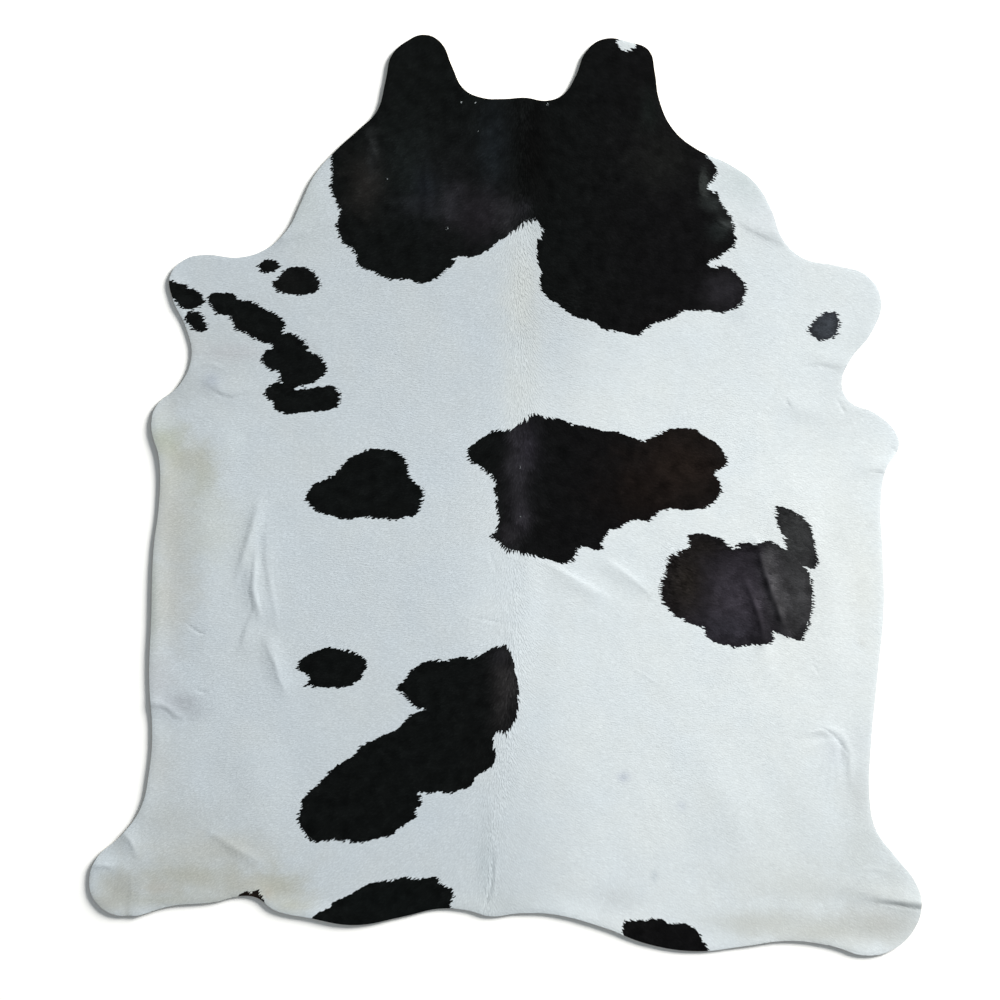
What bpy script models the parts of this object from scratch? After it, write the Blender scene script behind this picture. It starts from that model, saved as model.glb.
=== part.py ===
# Hair-on cowhide rug, one piece of hide lying flat on the floor.
# Metres, +Z up. The head end points to +Y and the origin is on the floor, under the middle of the hide.

import math
from typing import NamedTuple

import bpy
from mathutils import Vector
from mathutils.geometry import delaunay_2d_cdt, intersect_point_line

# Driving sizes, in metres.
HIDE_WIDTH = 1.996  # across the hind legs
HIDE_LENGTH = 2.208  # from the left ear to the right hind leg, along the spine
SKIN_THICKNESS = 0.002  # tanned leather
COAT_DEPTH = 0.003  # short hair lying flat on it

# How finely the sheet is divided.
OUTLINE_STEPS = 4  # straight pieces between two points of the outline
FLAT_SPACING = 0.090  # metres between points where the hide lies flat
FOLD_LINES = (-1.0, -0.5, 0.0, 0.5, 1.0)  # lines along a fold, in half widths from its crest
SECTION_SHARE = 0.5  # of a fold's width, from one of its cross-sections to the next
SHORTEST_SECTION = 0.020  # metres
FEWEST_SECTIONS = 5
EDGE_MARGIN = 0.35  # inner points keep this share of their spacing from the cut edge
POINT_MARGIN = 0.6  # and this share from one another

MM = 0.001
COLLECTION_NAME = "Cowhide rug"
HIDE_COLOUR = (0.76, 0.79, 0.79, 1.0)
HIDE_ROUGHNESS = 0.6

# The cut edge, clockwise from the left ear: the points (x, y) of each stretch, in millimetres.
OUTLINE = {
    "left ear": (
        (-287, 996), (-273, 1054), (-239, 1087), (-194, 1104),
        (-155, 1085), (-129, 1030), (-100, 974),
    ),
    "neck edge": ((-57, 953), (-2, 950), (46, 953), (101, 946)),
    "right ear": (
        (140, 962), (169, 1006), (193, 1063), (233, 1093),
        (303, 1085), (344, 1066), (358, 1015),
    ),
    "right shoulder": (
        (368, 950), (401, 878), (461, 828), (536, 794),
        (601, 746), (639, 682), (665, 614), (713, 569),
    ),
    "right fore leg": (
        (797, 550), (867, 526), (901, 466), (879, 391),
        (826, 322), (807, 269), (824, 226),
    ),
    "right elbow": ((886, 197), (934, 154), (944, 118), (913, 62), (901, -12)),
    "right flank": ((905, -144), (908, -264), (893, -432), (877, -600), (874, -732)),
    "right hind leg": (
        (889, -802), (939, -871), (982, -926), (998, -979),
        (982, -1039), (929, -1090), (862, -1104),
    ),
    "right rump": (
        (785, -1082), (682, -1069), (572, -1082), (461, -1094),
        (346, -1078), (226, -1034), (118, -1006),
    ),
    "tail end": ((34, -1003), (-38, -1010), (-91, -996), (-158, -992), (-242, -1010)),
    "left rump": ((-362, -1031), (-470, -1014), (-556, -994), (-595, -966), (-628, -961), (-698, -976)),
    "left hind leg": (
        (-794, -984), (-921, -1009), (-979, -980), (-998, -926),
        (-979, -869), (-923, -818), (-875, -751),
    ),
    "left flank": (
        (-854, -660), (-847, -576), (-854, -444), (-849, -288),
        (-844, -132), (-830, -12), (-830, 84),
    ),
    "left elbow": ((-849, 168), (-837, 214), (-782, 264), (-753, 331)),
    "left fore leg": ((-767, 403), (-799, 473), (-804, 526), (-767, 566), (-722, 576), (-638, 570)),
    "left shoulder": (
        (-578, 588), (-523, 636), (-489, 703), (-460, 763),
        (-407, 826), (-350, 878), (-309, 919),
    ),
}


class Fold(NamedTuple):
    """A place where the hide stands up off the floor, in millimetres."""

    start: tuple  # (x, y, height) of the crest
    middle: tuple
    end: tuple
    width: float  # from foot to foot


FOLDS = {
    # Creases left where the hide was folded for carrying.
    "left flank crease, upper": Fold((-583, -6, 0), (-612, -104, 9), (-650, -226, 0), 42),
    "left flank crease, middle": Fold((-598, -110, 0), (-605, -222, 10), (-582, -306, 0), 40),
    "left flank crease, branch": Fold((-598, -284, 0), (-612, -330, 6), (-636, -378, 0), 34),
    "left flank crease, inner": Fold((-560, -60, 0), (-566, -190, 4), (-546, -330, 0), 34),
    "left flank crease, lower": Fold((-572, -330, 0), (-554, -400, 8), (-520, -490, 0), 40),
    "left belly wrinkle": Fold((-866, -500, 7), (-816, -508, 7), (-772, -540, 0), 38),
    "left shoulder dimple": Fold((-736, 306, 0), (-672, 250, 6), (-594, 276, 0), 44),
    "left neck pleat": Fold((-548, 612, 6), (-478, 640, 5), (-404, 688, 0), 34),
    "left neck crease": Fold((-342, 886, 0), (-314, 828, 5), (-288, 768, 0), 34),
    "right neck ring": Fold((500, 792, 0), (462, 748, 6), (496, 704, 0), 30),
    "right neck crease": Fold((492, 676, 0), (518, 650, 5), (552, 630, 0), 30),
    "right shoulder tuck": Fold((552, 668, 0), (612, 640, 6), (684, 612, 8), 40),
    "right fore leg wrinkle": Fold((712, 330, 0), (760, 326, 4), (820, 318, 6), 44),
    "right elbow hollow's rim": Fold((664, 248, 0), (740, 190, 5), (812, 232, 0), 40),
    "right elbow tuck": Fold((834, 64, 0), (880, 68, 6), (934, 74, 9), 38),
    "saddle crease, left": Fold((96, -160, 0), (172, -212, 5), (262, -256, 0), 36),
    "saddle crease, right": Fold((216, -144, 0), (290, -194, 5), (366, -242, 0), 36),
    "flank patch crease, outer": Fold((604, -104, 0), (638, -226, 10), (680, -348, 0), 46),
    "flank patch crease, inner": Fold((570, -180, 0), (602, -280, 8), (634, -440, 0), 44),
    "right belly loop": Fold((706, -588, 0), (796, -582, 7), (818, -704, 0), 38),
    "right hind leg tuck": Fold((790, -950, 0), (900, -960, 9), (1010, -978, 13), 54),
    "left hind leg tuck": Fold((-934, -792, 9), (-902, -826, 8), (-874, -882, 0), 40),
    "left hoof tuck": Fold((-1012, -884, 9), (-950, -888, 7), (-898, -896, 0), 36),
    "left hoof wrinkle": Fold((-884, -900, 0), (-878, -950, 4), (-888, -1012, 6), 34),
    "left thigh crease": Fold((-710, -796, 0), (-632, -856, 5), (-556, -890, 0), 46),
    # Broad places that never quite settle on the floor.
    "spine": Fold((58, 640, 0), (52, -180, 4), (-45, -1000, 0), 90),
    "left flank swell": Fold((-740, 60, 0), (-716, -160, 7), (-730, -420, 0), 180),
    "left thigh swell": Fold((-640, -560, 0), (-600, -700, 6), (-660, -780, 0), 200),
    "right belly swell": Fold((640, 60, 0), (770, -180, 7), (760, -460, 0), 200),
    "right thigh swell": Fold((500, -640, 0), (560, -800, 6), (640, -960, 0), 220),
    "left neck swell": Fold((-220, 940, 0), (-230, 760, 6), (-200, 560, 0), 170),
    "right neck swell": Fold((340, 960, 0), (330, 780, 6), (300, 560, 0), 180),
}


def clear_scene():
    for obj in list(bpy.data.objects):
        bpy.data.objects.remove(obj)


def make_material(name, colour, roughness):
    material = bpy.data.materials.new(name)
    material.use_nodes = True
    shader = material.node_tree.nodes["Principled BSDF"]
    shader.inputs["Base Color"].default_value = colour
    shader.inputs["Roughness"].default_value = roughness
    shader.inputs["Metallic"].default_value = 0.0
    return material


def smooth_outline():
    """The cut edge as points on a smooth closed curve through the outline's own."""
    knots = [knot for stretch in OUTLINE.values() for knot in stretch]
    curve = bpy.data.curves.new("outline", "CURVE")
    curve.dimensions = "2D"
    curve.resolution_u = OUTLINE_STEPS
    spline = curve.splines.new("BEZIER")
    spline.bezier_points.add(len(knots) - 1)
    spline.use_cyclic_u = True
    for bezier_point, (x, y) in zip(spline.bezier_points, knots):
        bezier_point.co = (x * MM, y * MM, 0)
        bezier_point.handle_left_type = bezier_point.handle_right_type = "AUTO"

    guide = bpy.data.objects.new("outline", curve)
    mesh = bpy.data.meshes.new_from_object(guide)
    points = [vertex.co.xy for vertex in mesh.vertices]
    bpy.data.objects.remove(guide)
    bpy.data.curves.remove(curve)
    bpy.data.meshes.remove(mesh)
    return points


def fitted(points):
    """The points moved and scaled to the hide's width and length about the origin."""
    low = Vector(min(point[axis] for point in points) for axis in (0, 1))
    high = Vector(max(point[axis] for point in points) for axis in (0, 1))
    middle = (low + high) / 2
    scale = Vector((HIDE_WIDTH / (high.x - low.x), HIDE_LENGTH / (high.y - low.y)))
    return [(point - middle) * scale for point in points]


def crest_at(fold, share):
    """Place and height of a fold's crest at a share of its length, smooth through its three points."""
    start, middle, end = (Vector(point) for point in fold[:3])
    from_start = 2 * (share - 0.5) * (share - 1) * start
    from_middle = 4 * share * (1 - share) * middle
    from_end = 2 * share * (share - 0.5) * end
    return (from_start + from_middle + from_end) * MM


def crest_of(fold):
    """Points along a fold's crest, one for each cross-section."""
    start, middle, end = (Vector(point) for point in fold[:3])
    length = ((middle - start).length + (end - middle).length) * MM
    spacing = max(fold.width * MM * SECTION_SHARE, SHORTEST_SECTION)
    count = max(FEWEST_SECTIONS, round(length / spacing) + 1)
    return [crest_at(fold, step / (count - 1)) for step in range(count)]


def fold_points(fold):
    """Points on the lines that run along a fold, from one foot over the crest to the other."""
    half_width = fold.width / 2 * MM
    crest = crest_of(fold)
    points = []
    for index, here in enumerate(crest):
        along = crest[min(index + 1, len(crest) - 1)] - crest[max(index - 1, 0)]
        across = Vector((-along.y, along.x)).normalized()
        points += [here.xy + across * half_width * line for line in FOLD_LINES]
    return points


def lift_at(point, crests):
    """How far the underside stands off the floor there: the highest fold that reaches it."""
    highest = 0.0
    for half_width, crest in crests:
        for near, far in zip(crest, crest[1:]):
            _, share = intersect_point_line(point, near.xy, far.xy)
            nearest = near.lerp(far, min(1.0, max(0.0, share)))
            away = (point - nearest.xy).length / half_width
            if away < 1.0:
                highest = max(highest, nearest.z * (1 + math.cos(math.pi * away)) / 2)
    return highest


def is_inside(point, outline):
    """Whether a point lies within the cut edge, by counting the edge's crossings to its right."""
    crossings = 0
    for a, b in zip(outline, outline[1:] + outline[:1]):
        if (a.y > point.y) != (b.y > point.y):
            crossings += point.x < a.x + (point.y - a.y) * (b.x - a.x) / (b.y - a.y)
    return crossings % 2 == 1


def flat_points():
    """Staggered rows of points over the whole hide."""
    row_height = FLAT_SPACING * math.sqrt(3) / 2
    rows = math.ceil(HIDE_LENGTH / 2 / row_height)
    columns = math.ceil(HIDE_WIDTH / 2 / FLAT_SPACING)
    return [
        Vector(((column + row % 2 / 2) * FLAT_SPACING, row * row_height))
        for row in range(-rows, rows + 1)
        for column in range(-columns, columns + 1)
    ]


def spaced_points(candidates, spacing, kept, outline):
    """The candidates that lie on the hide, clear of its edge and of every point kept so far."""
    added = []
    for point in candidates:
        if not is_inside(point, outline):
            continue
        if min((point - edge).length for edge in outline) < spacing * EDGE_MARGIN:
            continue
        if all((point - other).length >= spacing * POINT_MARGIN for other in kept + added):
            added.append(point)
    return added


def make_hide():
    """The hide's underside as an open sheet, given its thickness upwards."""
    outline = fitted(smooth_outline())
    inner = []
    for fold in sorted(FOLDS.values(), key=lambda row: row.width):
        line_spacing = fold.width / (len(FOLD_LINES) - 1) * MM
        inner += spaced_points(fold_points(fold), line_spacing, inner, outline)
    inner += spaced_points(flat_points(), FLAT_SPACING, inner, outline)

    cut_edge = list(range(len(outline)))
    keep_inside, merge_distance = 1, 1e-6
    places, _, triangles, *_ = delaunay_2d_cdt(outline + inner, [], [cut_edge], keep_inside, merge_distance)
    crests = [(fold.width / 2 * MM, crest_of(fold)) for fold in FOLDS.values()]
    mesh = bpy.data.meshes.new("hide")
    mesh.from_pydata([(*place, lift_at(place, crests)) for place in places], [], triangles)
    mesh.shade_smooth()
    mesh.materials.append(make_material("Hair-on hide", HIDE_COLOUR, HIDE_ROUGHNESS))

    hide = bpy.data.objects.new("hide", mesh)
    thickness = hide.modifiers.new("skin and coat", "SOLIDIFY")
    thickness.thickness = SKIN_THICKNESS + COAT_DEPTH
    thickness.offset = 1.0
    return hide


clear_scene()
collection = bpy.data.collections.new(COLLECTION_NAME)
bpy.context.scene.collection.children.link(collection)
collection.objects.link(make_hide())
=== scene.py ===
import math

import bpy
import numpy as np
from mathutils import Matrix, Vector, noise
from mathutils.bvhtree import BVHTree
from mathutils.geometry import delaunay_2d_cdt
from mathutils.kdtree import KDTree


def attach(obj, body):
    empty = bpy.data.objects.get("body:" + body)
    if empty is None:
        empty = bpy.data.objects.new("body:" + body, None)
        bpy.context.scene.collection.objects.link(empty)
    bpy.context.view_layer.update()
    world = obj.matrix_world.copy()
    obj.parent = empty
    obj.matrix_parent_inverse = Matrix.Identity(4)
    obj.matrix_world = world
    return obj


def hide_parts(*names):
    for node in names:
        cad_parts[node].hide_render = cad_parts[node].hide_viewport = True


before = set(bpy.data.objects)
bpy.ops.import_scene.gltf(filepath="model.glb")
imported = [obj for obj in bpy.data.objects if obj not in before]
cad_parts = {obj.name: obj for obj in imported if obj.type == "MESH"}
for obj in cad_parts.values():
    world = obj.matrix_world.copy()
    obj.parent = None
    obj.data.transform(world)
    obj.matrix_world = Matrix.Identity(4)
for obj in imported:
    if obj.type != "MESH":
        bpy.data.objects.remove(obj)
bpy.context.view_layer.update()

# A hair-on cowhide rug laid on a pale studio floor, seen from straight above.
# Places on the hide were read off the photograph, in its pixels; onFloor turns them to metres.

mm = 0.001
tiny = 1e-12  # keeps a division by nothing from failing
weld = 1e-7  # metres, within which two points count as one
far = 1.0  # metres, past the hide or above it
photo = {
    "pixel": 2.4 * mm,  # on the floor, for one pixel
    "middleX": 505.5,  # the pixel over the frame's origin
    "middleY": 495.0,
    "width": 1000,  # pixels
}

hide = {
    "skin": 2.0 * mm,  # tanned leather
    "coat": 3.0 * mm,  # depth of hair lying on it
    "coatAtEdge": 2.6 * mm,  # the cut thins it
    "edgeBevel": 6 * mm,
    "thinnest": 2.8 * mm,  # skin and hair under the deepest crease
    "grid": 8 * mm,  # of the hair's bed
    "creaseGrid": 4 * mm,
    "fineBorder": 7 * mm,  # either side of a patch's edge, with the creases' grid
    "underGrid": 26 * mm,
    "edgeClearance": 0.4,  # of a grid step, kept from the cut edge
    "settling": 10,  # rounds that soften the solid's facets
    "settlingShare": 0.6,  # of the neighbours' mean in each round
    "foldShare": 0.38,  # of the solid's folds: soft leather sinks a little under its own weight
    "waviness": 0.4 * mm,
    "edgeCurl": 3.2 * mm,
    "curlShares": (0.3, 0.9, 1.2),  # of the curl: least, mean and most along the edge
    "curlReach": 34 * mm,
    "curlTowards": (-0.83, -0.55),  # the edges on its left and at the tail stand up most
    "curlSpill": 0.15,  # onto the edges beside them
    "flatSize": (1.996, 2.208),
    "flatArea": 3.22,  # square metres
}

lumps = {  # what varies over the hide: its strength, the size of a lump and a number of its own
    "waves": (1.0, 110 * mm, 3.1), "smallWaves": (0.4, 45 * mm, 8.7),  # of hide["waviness"]
    "curl": (0.8, 210 * mm, 5.5),  # of hide["edgeCurl"]
    "heading": (16, 160 * mm, 21.0),  # degrees
    "border": (2.4 * mm, 15 * mm, 1.3), "blotEdge": (0.3, 45 * mm, 11.0), "blotTeeth": (0.2, 16 * mm, 15.0),
    "warmth": (0.012, 140 * mm, 31.0), "smallWarmth": (0.008, 50 * mm, 35.0),
    "lightness": (0.012, 90 * mm, 41.0),
    "mottle": (1.0, 30 * mm, 51.0), "smallMottle": (1.0, 17 * mm, 55.0),  # of a coat's own mottle
}


def onFloor(x, y):
    return ((x - photo["middleX"]) * photo["pixel"], (photo["middleY"] - y) * photo["pixel"])


def onFloorAll(points):
    pixels = np.array(points, float)
    return (pixels - (photo["middleX"], photo["middleY"])) * (photo["pixel"], -photo["pixel"])


def linear(code):
    # sRGB hex to linear
    shares = [int(code[i:i + 2], 16) / 255 for i in (1, 3, 5)]
    return tuple(s / 12.92 if s <= 0.04045 else ((s + 0.055) / 1.055) ** 2.4 for s in shares)


def add(tree, kind, inputs=(), operation=None, feeds=None, **settings):
    # adds a node with its settings, sets or links its inputs, listed in order or by name, and feeds a socket
    node = tree.nodes.new(kind)
    if operation:
        node.operation = operation
    for name, value in settings.items():
        setattr(node, name, value)
    for key, value in (inputs.items() if isinstance(inputs, dict) else enumerate(inputs)):
        if isinstance(key, int):
            socket = node.inputs[key]
        else:
            socket = next(s for s in node.inputs if s.name == key and s.enabled)
        if isinstance(value, bpy.types.Node):
            value = next(s for s in value.outputs if s.enabled)
        if isinstance(value, bpy.types.NodeSocket):
            tree.links.new(value, socket)
        else:
            socket.default_value = value
    if feeds:
        tree.links.new(next(s for s in node.outputs if s.enabled), feeds)
    return node


def placed(name, data):
    # a mesh, light or camera as an object in the scene
    thing = bpy.data.objects.new(name, data)
    bpy.context.scene.collection.objects.link(thing)
    return thing


def smoothCurve(points, closed=False, steps=4):
    # a smooth curve through the points, with this many steps from one to the next
    knots = np.array(points, float)
    if closed:
        around = [np.roll(knots, shift, 0) for shift in (1, 0, -1, -2)]
    else:
        ends = np.vstack([2 * knots[0] - knots[1], knots, 2 * knots[-1] - knots[-2]])
        around = [ends[:-3], ends[1:-2], ends[2:-1], ends[3:]]
    p0, p1, p2, p3 = (side[:, None, :] for side in around)
    t = (np.arange(steps) / steps)[None, :, None]
    curve = 0.5 * (
        2 * p1 + (p2 - p0) * t + (2 * p0 - 5 * p1 + 4 * p2 - p3) * t**2
        + (3 * p1 - p0 - 3 * p2 + p3) * t**3
    )
    curve = curve.reshape(-1, knots.shape[1])
    return curve if closed else np.vstack([curve, knots[-1]])


def inBatches(work, places, *others, size=3000):
    # keeps numpy's tables of places against lines small
    return np.concatenate([work(places[i:i + size], *others) for i in range(0, len(places), size)])


def nearestOnLine(places, line, closed):
    # for each place: distance to the line, and how far along it the nearest point is, in points
    a = line if closed else line[:-1]
    b = np.roll(line, -1, 0) if closed else line[1:]
    along = b - a
    lengths = np.maximum((along**2).sum(1), tiny)
    share = np.clip((((places[:, None] - a) * along).sum(2)) / lengths, 0, 1)
    gap = np.linalg.norm(places[:, None] - (a + share[..., None] * along), axis=2)
    best = gap.argmin(1)
    rows = np.arange(len(places))
    return np.stack([gap[rows, best], best + share[rows, best]], 1)


def insideOf(places, loop):
    # whether a line from each place towards +X crosses the loop an odd number of times
    a, b = loop, np.roll(loop, -1, 0)
    x, y = places[:, :1], places[:, 1:]
    rise = np.where(b[:, 1] == a[:, 1], tiny, b[:, 1] - a[:, 1])
    crosses = ((a[:, 1] > y) != (b[:, 1] > y)) & (x < a[:, 0] + (y - a[:, 1]) * (b[:, 0] - a[:, 0]) / rise)
    return crosses.sum(1) % 2 == 1


def signedDistance(places, loop, reach):
    # metres inside a closed outline, negative outside it, and -reach where it is further off
    result = np.full(len(places), -reach)
    near = ((places > loop.min(0) - reach) & (places < loop.max(0) + reach)).all(1)
    if near.any():
        gap = inBatches(nearestOnLine, places[near], loop, True)[:, 0]
        inside = inBatches(insideOf, places[near], loop)
        result[near] = np.where(inside, gap, np.maximum(-gap, -reach))
    return result


def fade(value):
    # 0 to 1 with soft ends
    value = np.clip(value, 0, 1)
    return value * value * (3 - 2 * value)


def ripple(places, name):
    # even noise from minus to plus its strength
    strength, size, own = lumps[name]
    return strength * np.array([noise.noise(Vector((x / size, y / size, own))) for x, y in places])


print("stage: reading the packed hide")

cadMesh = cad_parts["hide"].data
cadPoints = np.array([v.co for v in cadMesh.vertices])
cadTriangles = np.array([p.vertices for p in cadMesh.polygons])
rounded, merged = np.unique(np.round(cadPoints / mm, 3), axis=0, return_inverse=True)
cadPoints, cadTriangles = rounded * mm, merged.reshape(-1)[cadTriangles]
corners = cadPoints[cadTriangles]
facing = np.cross(corners[:, 1] - corners[:, 0], corners[:, 2] - corners[:, 0])
facing /= np.maximum(np.linalg.norm(facing, axis=1, keepdims=True), tiny)
underside = cadTriangles[facing[:, 2] < -0.5]  # the faces that look down
undersideTree = BVHTree.FromPolygons([Vector(p) for p in cadPoints], underside.tolist())


def edgesOf(triangles):
    return np.concatenate([triangles[:, [0, 1]], triangles[:, [1, 2]], triangles[:, [2, 0]]])


def rimOf(triangles):
    # the open edges of a patch of triangles, as one loop of point numbers
    known = {(a, b) for a, b in edgesOf(triangles).tolist()}
    following = {a: b for a, b in known if (b, a) not in known}
    start = next(iter(following))
    loop = [start]
    while following[loop[-1]] != start:
        loop.append(following[loop[-1]])
    return loop


outline = cadPoints[rimOf(underside)][:, :2]
nextPoints = np.roll(outline, -1, 0)
if (outline[:, 0] * nextPoints[:, 1] - outline[:, 1] * nextPoints[:, 0]).sum() < 0:  # it runs clockwise
    outline = outline[::-1]
sides = np.roll(outline, -1, 0) - outline
sideLengths = np.linalg.norm(sides, axis=1)[:, None]
sides /= sideLengths
# The way along the cut edge at each point, as on a circle through it and its neighbours.
edgeWay = sides * np.roll(sideLengths, 1, 0) + np.roll(sides, 1, 0) * sideLengths
edgeWay /= np.linalg.norm(edgeWay, axis=1)[:, None]
outwards = np.stack([edgeWay[:, 1], -edgeWay[:, 0]], 1)


def finerRim(step):
    # the outline with a point at least every step, on curves through the points it has
    parts = []
    for i, start in enumerate(outline):
        after = (i + 1) % len(outline)
        length = sideLengths[i, 0]
        count = math.ceil(length / step)
        t = (np.arange(count) / count)[:, None]
        parts.append(
            (2 * t**3 - 3 * t**2 + 1) * start + (t**3 - 2 * t**2 + t) * length * edgeWay[i]
            + (3 * t**2 - 2 * t**3) * outline[after] + (t**3 - t**2) * length * edgeWay[after])
    return np.concatenate(parts)


rim = finerRim(hide["grid"])
print("  outline:", len(outline), "points, rim:", len(rim))

# Sharp creases and puckers on the solid's folds: points of the crest, height in mm (a trough is below 0)
# and width in mm.
creases = {
    "flankUpper": ([(262, 492), (254, 520), (249, 538), (243, 558), (235, 586)], 0.77, 22),
    "flankMiddle": ([(256, 536), (255, 567), (254, 590), (258, 606), (261, 622)], 0.83, 18),
    "flankMiddleTrough": ([(254, 542), (251, 575), (249, 592), (252, 608), (247, 624)], -0.55, 13),
    "flankBranch": ([(254, 608), (247, 628), (240, 652)], 0.66, 16),
    "flankInner": ([(273, 500), (267, 530), (266, 556), (270, 580), (276, 610), (280, 635)], 0.44, 20),
    "flankLower": ([(264, 640), (275, 662), (279, 678), (289, 695)], 0.55, 14),
    "flankPuckerUpper": ([(185, 621), (200, 633), (209, 630)], -0.95, 11),
    "flankPuckerLower": ([(195, 687), (202, 692), (209, 690)], -0.9, 10),
    "bellyWrinkle": ([(152, 703), (165, 705), (176, 714), (187, 719)], 0.52, 16),
    "bellyWrinkleTrough": ([(152, 708), (165, 710), (175, 720)], -0.55, 12),
    "shoulderDimpleTop": ([(200, 366), (212, 364), (226, 370)], 0.55, 20),
    "shoulderDimpleTrough": ([(204, 384), (217, 393), (230, 398), (244, 394), (255, 387)], -0.66, 16),
    "shoulderLine": ([(190, 355), (210, 355), (230, 355)], -0.28, 12),
    "thighLine": ([(122, 832), (131, 841), (137, 856)], 0.61, 15),
    "hoofLine": ([(93, 866), (103, 865), (113, 867)], 0.61, 14),
    "hoofLineDown": ([(130, 870), (132, 890), (129, 913)], 0.44, 16),
    "thighDiagonal": ([(203, 826), (230, 845), (258, 860)], 0.4, 26),
    "neckPleat": ([(286, 242), (303, 234), (318, 224), (335, 211)], 0.61, 18),
    "neckHighlight": ([(364, 128), (373, 150), (381, 172)], 0.55, 20),
    "neckRing": ([(711, 167), (701, 174), (699, 187), (702, 196), (710, 200)], 1.32, 12),
    "neckLine": ([(714, 217), (722, 224), (731, 229)], 0.99, 11),
    "shoulderTuck": ([(738, 220), (749, 228), (762, 234), (785, 245)], 0.4, 18),
    "foreLegLine": ([(803, 367), (820, 366), (837, 369)], -0.44, 18),
    "foreLegHookInner": ([(785, 397), (787, 403), (791, 409)], -0.61, 12),
    "foreLegHookOuter": ([(838, 399), (841, 407), (846, 416)], -0.61, 12),
    "elbowLine": ([(865, 472), (876, 472), (886, 475)], -0.44, 14),
    "elbowLineUpper": ([(889, 447), (895, 451), (900, 456)], -0.44, 12),
    "flankPatchOuter": ([(755, 538), (766, 576), (779, 612), (787, 636)], 2.7, 24),
    "flankPatchInner": ([(743, 576), (754, 602), (761, 625), (763, 644)], 2.2, 20),
    "flankPatchFan": ([(728, 577), (737, 596), (742, 612)], 0.66, 18),
    "saddleLeft": ([(528, 556), (567, 574), (608, 597)], 0.28, 16),
    "saddleRight": ([(609, 560), (634, 580), (658, 603)], 0.28, 16),
    "loinLine": ([(630, 666), (646, 676), (663, 687)], 0.28, 14),
    "spineWrinkle": ([(470, 617), (490, 620), (508, 624)], -0.44, 12),
    "spineCleft": ([(492, 848), (492, 866), (491, 884), (487, 900), (482, 914)], -0.8, 10),
    "spineCleftSide": ([(497, 852), (496, 870), (495, 886), (491, 902)], 0.5, 10),
    "spineFold": ([(489, 545), (493, 562), (499, 575)], -0.39, 14),
    "bellySettled": ([(798, 740), (837, 738), (846, 790)], -1.8, 38),
    "bellyLoop": (
        [(803, 735), (812, 729), (822, 728), (833, 735), (842, 746), (848, 754), (846, 768), (847, 786)],
        -0.55, 11),
    "bellyArc": ([(810, 664), (815, 668), (818, 676)], -0.4, 9),
    "hindTuck": ([(868, 897), (895, 900), (921, 903), (936, 905)], 0.9, 22),
    "hindTuckTrough": ([(874, 902), (897, 905), (920, 909), (938, 912)], -0.95, 15),
    "rumpLine": ([(848, 871), (872, 868), (896, 873)], 0.33, 16),
}


creaseForm = {
    "end": 0.3,  # share of a crease's length over which it rises
    "endHeight": 0.15,  # share of its height at its very ends
    "wobble": 0.15,  # share of its height that comes and goes along it
    "wobbleRun": 1.7,  # radians for each step of its curve
    "fineWithin": 1.4,  # half widths from it, with the finer grid
    "none": 9.0,  # half widths, for a place that is near no crease
}


def creaseHeight(places):
    # height that the creases add, and how near each place is to one, in half widths
    height = np.zeros(len(places))
    nearness = np.full(len(places), creaseForm["none"])
    for points, crest, width in creases.values():
        line = onFloorAll(smoothCurve(points))
        half = width * mm / 2
        near = ((places > line.min(0) - 3 * half) & (places < line.max(0) + 3 * half)).all(1)
        if not near.any():
            continue
        gap, along = nearestOnLine(places[near], line, False).T
        share = along / (len(line) - 1)
        ends = fade(share / creaseForm["end"]) * fade((1 - share) / creaseForm["end"])
        profile = (1 + np.cos(np.pi * np.clip(gap / half, 0, 1))) / 2
        tapered = creaseForm["endHeight"] + (1 - creaseForm["endHeight"]) * ends
        uneven = tapered * (
            1 - creaseForm["wobble"] + creaseForm["wobble"] * np.sin(along * creaseForm["wobbleRun"]))
        height[near] += crest * mm * profile * uneven
        nearness[near] = np.minimum(nearness[near], gap / half)
    return height, nearness


def hexGrid(step):
    # places a step apart, in rows of triangles, all over the hide
    low, high = outline.min(0), outline.max(0)
    rows = np.arange(low[1], high[1], step * math.sqrt(3) / 2)
    columns = np.arange(low[0], high[0], step)
    places = np.array([(x + (i % 2) * step / 2, y) for i, y in enumerate(rows) for x in columns])
    return places[inBatches(insideOf, places, outline)]


def roomOf(places):
    # distance to the cut edge, and the way out of it
    gap, along = inBatches(nearestOnLine, places, outline, True).T
    first = along.astype(int) % len(outline)
    share = (along - along.astype(int))[:, None]
    return gap, outwards[first] * (1 - share) + outwards[(first + 1) % len(outline)] * share


def triangulated(places, step):
    # triangles over the hide's rim and the places that stand clear of it
    places = places[roomOf(places)[0] > hide["edgeClearance"] * step]
    points = [Vector(p) for p in np.vstack([rim, places])]
    loop = list(range(len(rim)))
    found, _, triangles, origins, _, _ = delaunay_2d_cdt(points, [], [loop], 1, weld)
    number = {origin: i for i, group in enumerate(origins) for origin in group}
    return np.array([tuple(p) for p in found]), np.array(triangles), [number[i] for i in loop]


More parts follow.
